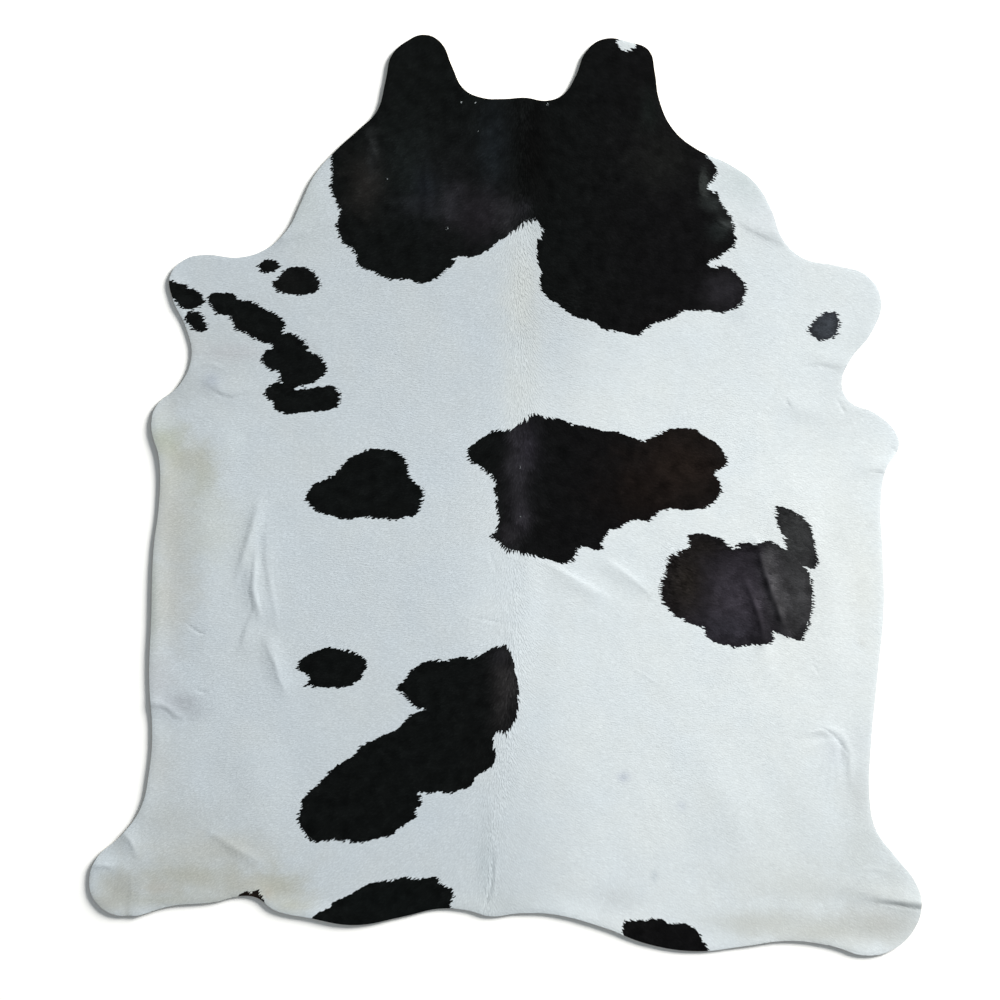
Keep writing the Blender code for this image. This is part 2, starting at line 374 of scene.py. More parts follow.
# The black patches, each a closed curve. Points past the cut edge close those that run off the hide.
patches = {
    "neck": [
        (331, 156), (333, 175), (331, 190), (341, 212), (337, 222), (343, 243), (355, 250), (358, 265),
        (375, 272), (388, 279), (410, 280), (423, 284), (435, 279), (452, 266), (458, 257), (478, 256),
        (498, 243), (515, 230), (525, 221), (532, 219), (538, 222), (541, 232), (537, 245), (537, 258),
        (541, 272), (539, 283), (543, 293), (560, 308), (580, 319), (592, 321), (602, 328), (615, 331),
        (628, 334), (638, 335), (652, 324), (662, 322), (678, 315), (682, 310), (703, 311), (720, 313),
        (732, 309), (740, 303), (745, 295), (745, 285), (740, 278), (733, 271), (725, 266), (717, 266),
        (711, 269), (708, 264), (712, 260), (722, 255), (732, 247), (735, 240), (733, 228), (730, 218),
        (724, 208), (719, 200), (717, 192), (711, 191), (707, 187), (714, 178), (716, 170), (713, 163),
        (706, 153), (722, 132), (700, 60), (690, 0), (500, -20), (310, 0), (296, 90), (318, 140),
    ],
    "shoulderSmall": [
        (259, 267), (263, 262), (270, 259), (278, 262), (281, 266), (277, 271), (270, 273), (263, 272),
    ],
    "shoulderOval": [
        (286, 269), (294, 267), (304, 267), (312, 270), (318, 278), (321, 285), (317, 291), (308, 294),
        (295, 294), (282, 293), (275, 289), (272, 284), (280, 277),
    ],
    "foreLegEdge": [
        (150, 281), (171, 281), (180, 283), (191, 287), (200, 293), (205, 302), (199, 308), (188, 310),
        (179, 305), (171, 298), (150, 297),
    ],
    "foreLegDot": [(186, 315), (195, 311), (203, 315), (209, 326), (203, 332), (193, 329), (187, 322)],
    "chain": [
        (208, 297), (216, 292), (232, 294), (241, 300), (255, 302), (265, 309), (278, 315), (285, 323),
        (284, 333), (294, 334), (306, 342), (311, 352), (324, 359), (327, 370), (322, 378), (312, 383),
        (300, 386), (290, 387), (281, 382), (281, 377), (278, 371), (266, 368), (262, 355), (275, 347),
        (262, 342), (246, 333), (234, 328), (231, 317), (219, 315), (212, 308),
    ],
    "chainEnd": [
        (265, 395), (270, 386), (279, 382), (287, 382), (294, 387), (301, 390), (314, 388), (330, 386),
        (337, 388), (341, 395), (336, 408), (314, 412), (300, 413), (289, 414), (275, 410), (273, 402),
    ],
    "leftRibs": [
        (306, 497), (314, 485), (330, 478), (346, 462), (365, 451), (383, 449), (402, 454), (408, 466),
        (411, 480), (421, 487), (424, 494), (421, 508), (411, 517), (388, 519), (365, 517), (349, 519),
        (330, 516), (314, 509),
    ],
    "saddle": [
        (468, 449), (482, 438), (497, 430), (508, 430), (516, 427), (525, 419), (534, 414), (548, 417),
        (560, 419), (573, 424), (590, 427), (605, 431), (619, 432), (630, 437), (644, 441), (655, 436),
        (666, 430), (682, 428), (697, 430), (706, 438), (716, 443), (724, 454), (726, 465), (714, 473),
        (719, 481), (721, 489), (714, 502), (706, 507), (689, 510), (672, 509), (661, 510), (647, 521),
        (634, 520), (621, 526), (609, 531), (603, 539), (600, 551), (590, 548), (577, 547), (575, 557),
        (562, 564), (552, 560), (539, 557), (522, 553), (508, 549), (495, 539), (491, 535), (497, 530),
        (499, 517), (496, 506), (497, 496), (494, 489), (497, 483), (491, 475), (480, 467), (471, 461),
    ],
    "rightFlank": [
        (659, 591), (664, 572), (668, 557), (687, 547), (688, 536), (697, 533), (714, 537), (727, 544),
        (735, 551), (738, 543), (754, 543), (767, 541), (779, 546), (788, 552), (799, 561), (808, 572),
        (811, 583), (813, 598), (810, 616), (805, 631), (800, 640), (789, 637), (775, 632), (772, 634),
        (774, 640), (767, 645), (754, 644), (737, 647), (720, 644), (706, 637), (703, 628), (687, 622),
        (672, 615), (664, 606),
    ],
    "rightFlankEar": [
        (777, 506), (789, 509), (802, 518), (811, 529), (814, 543), (817, 558), (815, 567), (809, 569),
        (801, 564), (793, 558), (786, 549), (782, 535), (777, 524), (775, 514),
    ],
    "leftLoin": [
        (298, 666), (304, 658), (316, 651), (328, 647), (342, 649), (356, 652), (364, 658), (367, 665),
        (364, 673), (359, 681), (349, 686), (335, 688), (321, 687), (315, 689), (313, 685), (305, 686),
        (310, 678), (301, 671),
    ],
    "rump": [
        (397, 688), (404, 680), (411, 670), (421, 664), (433, 659), (447, 661), (459, 657), (473, 658),
        (483, 653), (492, 648), (502, 645), (509, 648), (513, 661), (518, 678), (517, 692), (518, 708),
        (513, 723), (506, 732), (495, 732), (494, 744), (496, 752), (494, 763), (487, 770), (476, 775),
        (473, 783), (461, 790), (447, 793), (439, 790), (428, 793), (418, 791), (422, 799), (421, 805),
        (416, 809), (417, 815), (408, 823), (399, 829), (392, 835), (380, 837), (366, 841), (356, 842),
        (346, 840), (332, 840), (315, 841), (308, 837), (303, 830), (298, 820), (302, 808), (302, 799),
        (313, 789), (321, 781), (333, 768), (346, 760), (354, 755), (363, 745), (375, 740), (387, 733),
        (401, 727), (406, 720), (416, 712), (427, 709), (420, 708), (411, 704), (406, 696),
    ],
    "tailLeft": [
        (314, 916), (320, 912), (329, 907), (333, 902), (345, 897), (355, 891), (367, 885), (375, 881),
        (385, 880), (398, 879), (410, 877), (420, 878), (436, 877), (440, 881), (447, 886), (453, 890),
        (454, 897), (452, 905), (455, 916), (440, 935), (380, 945), (310, 930),
    ],
    "tailRight": [
        (622, 934), (623, 922), (633, 919), (645, 920), (655, 918), (668, 922), (680, 923), (692, 926),
        (700, 934), (703, 942), (706, 946), (703, 960), (660, 970), (618, 950),
    ],
    "bayEdge": [(238, 897), (245, 892), (250, 891), (258, 890), (262, 895), (263, 910), (240, 912)],
    "rightShoulder": [
        (807, 330), (812, 322), (819, 315), (828, 312), (836, 313), (838, 320), (838, 328), (834, 336),
        (825, 341), (815, 339), (810, 334),
    ],
}
whiteMarks = [  # white hair inside the black: x, y and radius in pixels
    (626, 41, 9.5), (461, 103, 1.0), (475, 104, 1.0), (477, 132, 1.2), (386, 179, 1.3), (446, 229, 1.1),
    (548, 105, 1.1), (519, 468, 1.1), (520, 517, 1.1),
]
markRings = (0.01 * mm, 2.5 * mm, 5.5 * mm)  # points of the bed around each small mark
border = {
    "reach": 30 * mm,  # past it, a place is all black or all white
    "teeth": 11 * mm,  # depth of the jags that the hair makes, before its noise halves them
    "toothSize": 7 * mm,
}


def darknessOf(places):
    # metres inside the black, negative in the white
    result = np.full(len(places), -border["reach"])
    for points in patches.values():
        loop = onFloorAll(smoothCurve(points, closed=True))
        result = np.maximum(result, signedDistance(places, loop, border["reach"]))
    for x, y, radius in whiteMarks:
        away = np.linalg.norm(places - onFloor(x, y), axis=1)
        result = np.minimum(result, away - radius * photo["pixel"])
    return result


def needsFine(places):
    # whether each place is near a crease or a patch's edge
    nearEdge = np.abs(darknessOf(places)) <= hide["fineBorder"]
    return (creaseHeight(places)[1] <= creaseForm["fineWithin"]) | nearEdge


print("stage: dividing the hide")
coarse, fine = hexGrid(hide["grid"]), hexGrid(hide["creaseGrid"])
sixWays = np.radians(np.arange(0, 360, 60))
rings = [np.array(onFloor(x, y)) + ring * np.stack([np.cos(sixWays), np.sin(sixWays)], 1)
         for x, y, _ in whiteMarks[1:] for ring in markRings]
bedPlaces = np.vstack([coarse[~needsFine(coarse)], fine[needsFine(fine)], *rings])
bed, bedTriangles, bedRim = triangulated(bedPlaces, hide["grid"])
room, wayOut = roomOf(bed)
print("  bed:", len(bed), "points,", len(bedTriangles), "triangles")


def settledLift(places, triangles):
    # how far the solid's underside stands off the floor at each place, with its facets softened
    lift = np.zeros(len(places))
    for i, (x, y) in enumerate(places):
        above = undersideTree.ray_cast(Vector((x, y, -far)), Vector((0, 0, 1)))[0]
        if above is None:  # a place on the very edge
            above = undersideTree.find_nearest(Vector((x, y, 0.0)))[0]
        lift[i] = above.z
    edges = edgesOf(triangles)
    count = np.maximum(np.bincount(edges.ravel(), minlength=len(places)), 1)
    for _ in range(hide["settling"]):
        total = np.bincount(edges[:, 0], lift[edges[:, 1]], len(places))
        total += np.bincount(edges[:, 1], lift[edges[:, 0]], len(places))
        lift = (1 - hide["settlingShare"]) * lift + hide["settlingShare"] * total / count
    return lift


lift = hide["foldShare"] * settledLift(bed, bedTriangles) + creaseHeight(bed)[0]
lift += hide["waviness"] * (ripple(bed, "waves") + ripple(bed, "smallWaves"))
leastCurl, meanCurl, mostCurl = hide["curlShares"]
curl = hide["edgeCurl"] * np.clip(meanCurl + ripple(bed, "curl"), leastCurl, mostCurl)
curl *= np.clip(hide["curlSpill"] + wayOut @ np.array(hide["curlTowards"]), 0, 1)
lift += curl * np.exp(-((room / hide["curlReach"]) ** 2))
coatDepth = hide["coatAtEdge"] + (hide["coat"] - hide["coatAtEdge"]) * fade(room / hide["edgeBevel"])
bedTop = np.maximum(lift + hide["skin"] + coatDepth, hide["thinnest"])

print("stage: marking the coat")

# Two lines down the photograph, as x at each y: the hair's parting, and the middle of the painted sheen that
# runs over the coat from its duller left to its brighter right, where the hair leans towards the light.
spine = {
    "y": (60, 225, 300, 350, 420, 560, 640, 720, 800, 860, 915),
    "x": (522, 524, 518, 521, 524, 515, 516, 509, 498, 490, 487),
}
paintedSheenLine = {"y": (250, 350, 420, 600, 720, 860), "x": (595, 572, 535, 502, 515, 540), "width": 0.38}


def rightOf(line):
    # metres from the line to each place of the bed, negative on its left
    lineX = [onFloor(x, 0)[0] for x in line["x"]]
    return bed[:, 0] - np.interp(-bed[:, 1], [-onFloor(0, y)[1] for y in line["y"]], lineX)


fromSpine = rightOf(spine)

# The hair runs back along the spine and turns outwards over the ribs: degrees from straight back at each y.
flowing = {"turn": 62 * mm, "y": (-1.0, -0.55, 0.45, 0.9), "degrees": (54, 74, 74, 58)}
sideways = np.interp(bed[:, 1], flowing["y"], flowing["degrees"])
heading = np.radians(sideways * np.tanh(fromSpine / flowing["turn"]) + ripple(bed, "heading"))
flow = np.stack([np.sin(heading), -np.cos(heading), np.zeros(len(bed))], 1)

lock = {
    "spacing": 4.15 * mm,
    "most": 260000.0,  # on a square metre, before the spacing thins them
    "length": 11.5 * mm,
    "width": 4.4 * mm,
    "overrun": 1.5 * mm,  # past the cut edge, before the tip is trimmed to it
    "shortest": 5 * mm,
    "inMarks": 2.5 * mm,  # length at the small white marks, within so many of their radii:
    "markRadii": 3,
    "slimmest": 0.75,  # width of a short lock, of its length
    "widest": 0.36,  # share of its length from its root, where it is thickest too
    "rise": 0.2 * mm,  # its height there, and at its root, sides and tip
    "rootRise": -0.05 * mm,
    "sideRise": 0.08 * mm,
    "tipRise": 0.165 * mm,
    "lean": 0.22,  # how far ahead of its root it takes its colour, as a share of its length
    "hairLine": 0.5 * mm,  # the lines drawn along it, for hairs of 0.06 mm that would not show
    "hairRun": 16 * mm,  # how far one line keeps its shade
    "drift": 0.35,  # radians astray, in drifts
    "driftSize": 36 * mm,
    "looseAstray": 3.0,  # how much further loose hair strays over a patch's edge
    "looseLonger": 0.6,
    "seed": 7,
}
darkness = darknessOf(bed + lock["lean"] * lock["length"] * flow[:, :2]) + ripple(bed, "border")

# Longer, looser hair: along the parting, most towards its ends, and at x, y within radii in pixels.
parting = {"ruffle": 0.65, "ruffleWidth": 20 * mm, "paintedSheenWidth": 18 * mm, "middle": 0.3, "towardsEnds": 1.2}
ruffle = parting["ruffle"] * np.exp(-(fromSpine / parting["ruffleWidth"]) ** 2)
ruffle *= fade(parting["towardsEnds"] * np.abs(bed[:, 1]) + parting["middle"])
longHair = [
    (672, 572, 16, 32, 1.0), (792, 514, 18, 10, 0.6), (745, 545, 50, 9, 0.5), (562, 302, 30, 14, 0.6),
    (484, 650, 26, 8, 0.4), (300, 392, 26, 6, 0.4), (524, 226, 14, 10, 0.7),
]
blotShape = 1 + ripple(bed, "blotEdge") + ripple(bed, "blotTeeth")


def blobWeight(x, y, radiusX, radiusY, strength):
    away = (bed - onFloor(x, y)) / (radiusX * photo["pixel"], radiusY * photo["pixel"])
    return strength * np.exp(-((np.linalg.norm(away, axis=1) * blotShape) ** 2))


for spot in longHair:
    ruffle = np.maximum(ruffle, blobWeight(*spot))

# Stained spots and tones on the coat, and painted shade, sheen and highlights, on the black coat most of
# all: middle and radii in pixels, strength and colour.
whiteCoat = {
    "left": "#B6BEC4",  # painted shade: the hair on this side leans away from the light, so its colour is set duller
    # painted sheen: the hair on this side leans towards the light, so its colour is set paler
    "right": "#CAD1D5",
    "parting": 0.05,
    "paintedHeadShade": 0.09,
    "mottle": 0.006,
    "stainsAndPaintedLight": [
        (810, 600, 90, 150, 0.6, "#D4D8D8"), (218, 350, 44, 40, 0.5, "#A9AFB2"),
        (888, 880, 16, 18, 0.7, "#BAC0C2"), (172, 520, 26, 62, 0.9, "#ABADAA"),
        (168, 600, 24, 42, 0.8, "#AFB1AE"), (154, 600, 6, 60, 0.8, "#9AA09D"),
        (203, 476, 16, 26, 0.75, "#A2A69E"), (188, 456, 26, 15, 0.65, "#A0A197"),
        (166, 438, 18, 17, 0.7, "#959A8A"), (212, 530, 34, 34, 0.45, "#AFB4AF"),
        (172, 478, 16, 24, 0.5, "#A6A9A2"), (160, 680, 16, 30, 0.7, "#A8ACB1"),
        (180, 702, 18, 9, 0.8, "#A0A5AC"), (160, 765, 18, 30, 0.7, "#ACB0B1"),
        (168, 820, 42, 20, 0.6, "#ABAFAE"), (205, 850, 70, 14, 0.6, "#B0B2AE"),
        (190, 874, 60, 15, 0.9, "#A5A7A0"), (120, 890, 22, 18, 0.9, "#A1A39E"),
        (160, 888, 14, 6, 0.45, "#A59D90"), (280, 885, 24, 14, 0.8, "#A5A79F"),
        (292, 904, 16, 8, 0.7, "#A6A89D"), (269, 892, 4, 5, 0.6, "#A59288"),
        (250, 882, 14, 8, 0.5, "#A8A9A6"), (192, 345, 14, 16, 0.7, "#ABAFB1"),
        # (213, 380) is painted shade in the shoulder's dimple
        (168, 408, 14, 16, 0.7, "#AEB3B4"), (213, 380, 9, 8, 0.9, "#9DA5AF"),
        (235, 352, 30, 8, 0.6, "#A9ACB1"), (303, 190, 14, 40, 0.8, "#A8AFB1"),
        (318, 152, 12, 12, 0.8, "#A3AAAF"), (745, 180, 16, 22, 0.7, "#BAC3C6"),
        # (835, 752) is painted shade inside the belly's loop
        (770, 218, 22, 12, 0.6, "#C1C6CB"), (835, 752, 11, 18, 0.35, "#BBC1CA"),
        (856, 795, 13, 34, 0.7, "#BABFC1"), (858, 850, 22, 28, 0.7, "#B8BEBF"),
        (882, 922, 44, 18, 0.9, "#AFB1AF"), (820, 930, 60, 15, 0.9, "#B1B4B1"),
        (752, 922, 40, 13, 0.8, "#B4B7B4"), (800, 885, 50, 20, 0.6, "#BCC0BE"),
        (622, 777, 5, 5, 0.8, "#AFB6C2"), (680, 805, 4, 4, 0.8, "#B8BFC8"),
        (653, 876, 3, 6, 0.8, "#AEB7BD"), (860, 642, 4, 4, 0.6, "#BFC2C2"),
        (735, 315, 12, 9, 0.4, "#B9C1C8"), (606, 925, 20, 14, 0.6, "#BEC4C8"),
        (461, 103, 3, 3, 0.9, "#7C8181"), (475, 104, 3, 3, 0.9, "#7C8181"),
        (477, 132, 3, 3, 0.9, "#8B9090"), (446, 229, 3, 3, 0.9, "#5E6263"),
        (548, 105, 3, 3, 0.9, "#5E6263"), (520, 517, 3, 3, 0.9, "#7C8181"),
        (519, 468, 3, 3, 0.9, "#7C8181"), (780, 840, 70, 60, 0.45, "#C0C6C8"),
        (235, 888, 55, 13, 0.5, "#A4A59D"), (487, 866, 8, 42, 0.6, "#AAB3B8"),
        (184, 706, 20, 14, 0.6, "#A0A6AC"), (152, 740, 12, 22, 0.5, "#A2A8AB"),
        (186, 385, 22, 18, 0.5, "#A6ACAF"), (858, 350, 14, 16, 0.6, "#B6BDC0"),
        (740, 175, 26, 30, 0.5, "#B3BBBE"), (760, 228, 20, 18, 0.5, "#B8BEC2"),
        (536, 228, 8, 14, 0.7, "#AEB5B9"), (312, 200, 20, 50, 0.4, "#A6ADB0"),
        (906, 902, 20, 24, 0.5, "#B9BFC0"), (856, 742, 12, 22, 0.5, "#BEC4C8"),
        (816, 410, 24, 12, 0.4, "#C2C8CB"), (232, 846, 40, 18, 0.5, "#A9ACA9"),
        (845, 400, 30, 44, 0.7, "#C3C9CC"), (840, 536, 20, 44, 0.7, "#C5CACB"),
        (862, 586, 14, 50, 0.6, "#C5C9C8"), (868, 890, 46, 13, 0.75, "#B9BEBF"),
        (616, 896, 28, 13, 0.6, "#BBC1C5"), (184, 378, 14, 10, 0.5, "#A3A9AC"),
        (170, 899, 70, 8, 0.8, "#A3A6A0"), (112, 902, 16, 9, 0.7, "#A0A29E"),
        (236, 440, 14, 16, 0.5, "#C0C9CE"), (276, 888, 30, 14, 0.5, "#A2A49C"),
        (314, 350, 8, 8, 0.6, "#A8AFB3"), (522, 290, 17, 60, 0.7, "#B9BDBB"),
        (498, 905, 48, 16, 0.7, "#B6BDC0"), (520, 390, 16, 40, 0.4, "#C2C6C4"),
    ],
}
blackCoat = {
    "left": "#0D0F0F",
    "right": "#0E0E0F",
    "parting": 0.3,
    "paintedHeadShade": 0.0,
    "mottle": 0.38,
    "stainsAndPaintedLight": [
        # Most of these rows are painted sheen, where the black hair catches the light, with painted
        # highlights on its creases; the brownish ones are the hair's own tint.
        (368, 184, 17, 26, 0.9, "#201F1E"), (408, 165, 22, 44, 0.7, "#161A1A"),
        (428, 190, 14, 20, 0.8, "#191D22"), (452, 176, 26, 36, 0.5, "#141517"),
        (494, 148, 14, 46, 0.9, "#161A1D"), (480, 212, 30, 26, 0.8, "#1F1D21"),
        (425, 205, 30, 12, 0.6, "#1A1B1E"), (452, 205, 9, 13, 0.8, "#26262A"),
        # (532, 150) is painted shade on the neck right of the parting, where the hair leans away from the
        # light
        (506, 214, 9, 15, 0.8, "#27272A"), (532, 150, 19, 62, 0.9, "#080808"),
        (648, 112, 9, 20, 0.8, "#161A19"), (656, 160, 32, 26, 0.7, "#181918"),
        (724, 291, 19, 17, 1.0, "#242327"), (717, 230, 12, 9, 0.8, "#1C2020"),
        # (703, 184), (712, 204), (727, 224) and (374, 152): painted highlights on the neck's creases
        (703, 184, 5, 15, 0.7, "#343837"), (712, 204, 10, 8, 0.7, "#2B2F2F"),
        (727, 224, 9, 5, 0.7, "#373B3B"), (374, 152, 5, 22, 0.7, "#27292A"),
        (524, 207, 5, 9, 0.7, "#26262A"), (518, 470, 11, 44, 0.9, "#28272B"),
        (528, 446, 10, 20, 0.7, "#2B2930"), (509, 536, 12, 13, 0.8, "#242326"),
        (522, 517, 7, 12, 0.6, "#343238"), (680, 466, 48, 40, 0.9, "#1E1815"),
        (638, 492, 38, 28, 0.6, "#15100E"), (505, 684, 10, 34, 1.0, "#2A292A"),
        (502, 655, 12, 9, 0.7, "#1D1D20"), (735, 596, 44, 44, 1.0, "#322F36"),
        (684, 580, 20, 34, 1.0, "#211E1C"), (702, 546, 20, 10, 0.9, "#191716"),
        (798, 594, 17, 46, 1.0, "#3A3A3C"), (795, 534, 23, 34, 1.0, "#333435"),
        # (766, 558), (770, 585), (773, 580), (780, 604) and (759, 606): painted highlights on the crests of
        # the flank patch's folds; (758, 560) and (766, 586): painted shade beside them
        (770, 585, 10, 34, 0.6, "#3A393C"), (766, 558, 5, 13, 0.6, "#48484A"),
        (773, 580, 5, 14, 0.6, "#48484A"), (780, 604, 5, 14, 0.6, "#444446"),
        (758, 560, 4, 12, 0.5, "#222126"), (766, 586, 4, 13, 0.5, "#222126"),
        (759, 606, 4, 12, 0.5, "#423F46"), (724, 628, 28, 14, 0.7, "#2E2D34"),
        (825, 327, 17, 15, 1.0, "#3A3E44"), (250, 898, 14, 10, 0.9, "#221A15"),
        (290, 280, 24, 14, 0.4, "#141414"), (380, 900, 50, 18, 0.5, "#0C1010"),
    ],
}
paintedHeadShadeSpan = {"from": -0.1, "over": 0.7}  # metres along the hide, over which painted shade darkens the coat towards the head
warmCast = (1.0, 0.2, -1.0)


def coatColours(coat):
    # the coat's colour at each place of the bed: painted sheen from left to right, painted shade towards the
    # head, paler along the parting, stained spots with painted shade and sheen, and the mottle
    # painted sheen and shade: the coat is set paler right of this line and duller left of it, by how the
    # hair leans to the light
    paintedSheenShare = fade(0.5 + rightOf(paintedSheenLine) / paintedSheenLine["width"])[:, None]
    colours = np.array(linear(coat["left"])) * (1 - paintedSheenShare) + np.array(linear(coat["right"])) * paintedSheenShare
    # painted shade, darker towards the head
    paintedShadeTowardsHead = fade((bed[:, 1] - paintedHeadShadeSpan["from"]) / paintedHeadShadeSpan["over"])[:, None]
    colours *= 1 - coat["paintedHeadShade"] * paintedShadeTowardsHead
    # Paler along the parting: slightly on the white coat, and on the black coat a painted sheen where the
    # hair stands up and catches the light.
    colours *= 1 + coat["parting"] * np.exp(-(fromSpine / parting["paintedSheenWidth"]) ** 2)[:, None]
    warm = (ripple(bed, "warmth") + ripple(bed, "smallWarmth"))[:, None]
    colours *= 1 + warm * warmCast + ripple(bed, "lightness")[:, None]
    mottle = 1 + coat["mottle"] * (ripple(bed, "mottle") + ripple(bed, "smallMottle"))[:, None]
    for *blob, colour in coat["stainsAndPaintedLight"]:
        weight = blobWeight(*blob)[:, None]
        colours = colours * (1 - weight) + np.array(linear(colour)) * weight
    return colours * mottle


# Room for a lock between its root and the cut edge, felt for in short steps along the hair.
feeler = {"step": 2 * mm, "steps": 12}
ahead = np.full(len(bed), far)
nearEdge = room < 2 * lock["length"]
reaches = np.arange(1, feeler["steps"] + 1) * feeler["step"]
tips = bed[nearEdge][:, None] + flow[nearEdge][:, None, :2] * reaches[None, :, None]
tipInside = inBatches(insideOf, tips.reshape(-1, 2), outline).reshape(-1, feeler["steps"])
stepsInside = np.cumprod(tipInside, 1).sum(1)
ahead[nearEdge] = np.where(
    stepsInside == feeler["steps"], far, stepsInside * feeler["step"] + lock["overrun"])
ahead = np.maximum(ahead, lock["shortest"])
for x, y, radius in whiteMarks[1:]:
    inMark = np.linalg.norm(bed - onFloor(x, y), axis=1) < lock["markRadii"] * radius * photo["pixel"]
    ahead[inMark] = lock["inMarks"]


def pairsOf(loop):
    return list(zip(loop, loop[1:] + loop[:1]))


def sharpen(mesh, isSharp):
    sharp = mesh.attributes.new("sharp_edge", "BOOLEAN", "EDGE")
    for edge in mesh.edges:
        sharp.data[edge.index].value = isSharp(edge.vertices)


def closedSheet(name, upper, lower):
    # two layers with the same rim, joined to a closed sheet; each is (points, triangles, rim)
    (top, topTriangles, topRim), (bottom, bottomTriangles, bottomRim) = upper, lower
    shift = len(top)
    faces = topTriangles.tolist() + (bottomTriangles[:, ::-1] + shift).tolist()
    for (a, b), (c, d) in zip(pairsOf(topRim), pairsOf(bottomRim)):
        faces += [(a, c + shift, d + shift), (a, d + shift, b)]
    mesh = bpy.data.meshes.new(name)
    mesh.from_pydata(np.vstack([top, bottom]).tolist(), [], faces)
    mesh.validate()
    mesh.shade_smooth()
    cut = {frozenset(pair) for pair in pairsOf(topRim)}
    cut |= {frozenset((a + shift, b + shift)) for a, b in pairsOf(bottomRim)}
    sharpen(mesh, lambda ends: frozenset(ends) in cut)
    return placed(name, mesh)


def store(mesh, name, kind, values):
    # a value for each point of the mesh, for its material or for the locks
    attribute = mesh.attributes.new(name, kind, "POINT")
    key = {"FLOAT": "value", "FLOAT_VECTOR": "vector", "FLOAT_COLOR": "color"}[kind]
    if kind == "FLOAT_COLOR":
        values = np.hstack([values, np.ones((len(values), 1))])
    attribute.data.foreach_set(key, np.ascontiguousarray(values, np.float32).ravel())


print("stage: skin and hair bed")
under, underTriangles, underRim = triangulated(hexGrid(hide["underGrid"]), hide["underGrid"])
bedTree = KDTree(len(bed))
for i, (x, y) in enumerate(bed):
    bedTree.insert((x, y, 0), i)
bedTree.balance()
nearestBed = [bedTree.find((x, y, 0))[1] for x, y in under]
underZ = np.maximum(lift[nearestBed], 0)


def layer(places, heights, triangles, rim):
    return np.hstack([places, heights[:, None]]), triangles, rim


skinTop = layer(under, underZ + hide["skin"], underTriangles, underRim)
skin = closedSheet("hide_skin", skinTop, layer(under, underZ, underTriangles, underRim))
hairBed = closedSheet("hide_hair_bed", layer(bed, bedTop, bedTriangles, bedRim), skinTop)

surface = bpy.data.meshes.new("hair surface")  # what the locks lie on
surface.from_pydata(np.hstack([bed, bedTop[:, None]]).tolist(), [], bedTriangles.tolist())
marks = {
    "darkness": ("FLOAT", darkness),
    "ahead": ("FLOAT", ahead),
    "ruffle": ("FLOAT", np.clip(ruffle, 0, 1)),
    "flow": ("FLOAT_VECTOR", flow),
    "whiteColour": ("FLOAT_COLOR", coatColours(whiteCoat)),
    "blackColour": ("FLOAT_COLOR", coatColours(blackCoat)),
}
for name, (kind, values) in marks.items():
    store(surface, name, kind, values)
for name in ("darkness", "whiteColour", "blackColour"):
    kind, values = marks[name]
    store(hairBed.data, name, kind, np.concatenate([values, values[nearestBed]]))

print("stage: finishes")
mathNode = "ShaderNodeMath"
noiseNode = "ShaderNodeTexNoise"


def newMaterial(name, **shaderInputs):
    material = bpy.data.materials.new(name)
    material.use_nodes = True
    tree = material.node_tree
    shader = tree.nodes["Principled BSDF"]
    for key, value in shaderInputs.items():
        shader.inputs[key.replace("_", " ")].default_value = value
    return material, tree, shader.inputs


def jagged(tree, darkness, where):
    # the darkness at the given places, with the jags that the hair makes along a patch's edge
    teeth = add(tree, noiseNode, {**where, "Scale": 1 / border["toothSize"], "Detail": 2.0})
    teeth = add(tree, mathNode, [teeth, 0.5], "SUBTRACT")
    return add(tree, mathNode, [teeth, border["teeth"], darkness], "MULTIPLY_ADD")


hairLines = {
    "apart": 50.0,  # in the noise, so that no two locks have the same lines
    "detail": 2.0,
    "looser": 2.0,  # how much more contrast the loosest locks have
    "paintedRootShade": 0.4,  # share of a lock's length over which the painted shade at its root fades out
}


def coatMaterial(name, colourName, contrast, lineContrast, **shaderInputs):
    # Combed flat in locks a few mm wide: the single hairs show as fine lines along each, most where they are
    # loose, and each lock has painted shade at its root, where it tucks into the hair below.
    material, tree, shader = newMaterial(name, **shaderInputs)
    colour, tint, ruffled, lines = [
        add(tree, "ShaderNodeAttribute", attribute_name=name).outputs
        for name in (colourName, "tint", "ruffle", "UVMap")]
    seed = add(tree, mathNode, [tint["Fac"], hairLines["apart"]], "MULTIPLY")
    scale = (lock["width"] / lock["hairLine"], lock["length"] / lock["hairRun"], 1)
    stretched = add(tree, "ShaderNodeMapping", {"Vector": lines["Vector"], "Scale": scale})
    away = add(tree, "ShaderNodeCombineXYZ", {"Z": seed})
    moved = add(tree, "ShaderNodeVectorMath", [stretched, away], "ADD")
    hairs = add(tree, noiseNode, {"Vector": moved, "Scale": 1.0, "Detail": hairLines["detail"]})
    more = add(tree, mathNode, [ruffled["Fac"], hairLines["looser"], 1.0], "MULTIPLY_ADD")
    patchy = add(tree, mathNode, [tint["Fac"], 0.5], "SUBTRACT")
    for factor in (contrast, more):
        patchy = add(tree, mathNode, [patchy, factor], "MULTIPLY")
    lined = add(tree, mathNode, [hairs, 0.5], "SUBTRACT")
    lined = add(tree, mathNode, [lined, lineContrast, patchy], "MULTIPLY_ADD")
    value = add(tree, mathNode, [lined, 1.0], "ADD")
    alongLock = add(tree, "ShaderNodeSeparateXYZ", {"Vector": lines["Vector"]}).outputs["Y"]
    # painted shade at the lock's root, where it tucks into the hair below
    root = add(tree, "ShaderNodeMapRange", {
        "Value": alongLock, "From Max": hairLines["paintedRootShade"], "To Min": 1 - contrast, "To Max": 1.0})
    value = add(tree, mathNode, [value, root], "MULTIPLY")
    shaded = {0: colour["Color"], "Scale": value}
    add(tree, "ShaderNodeVectorMath", shaded, "SCALE", shader["Base Color"])
    return material


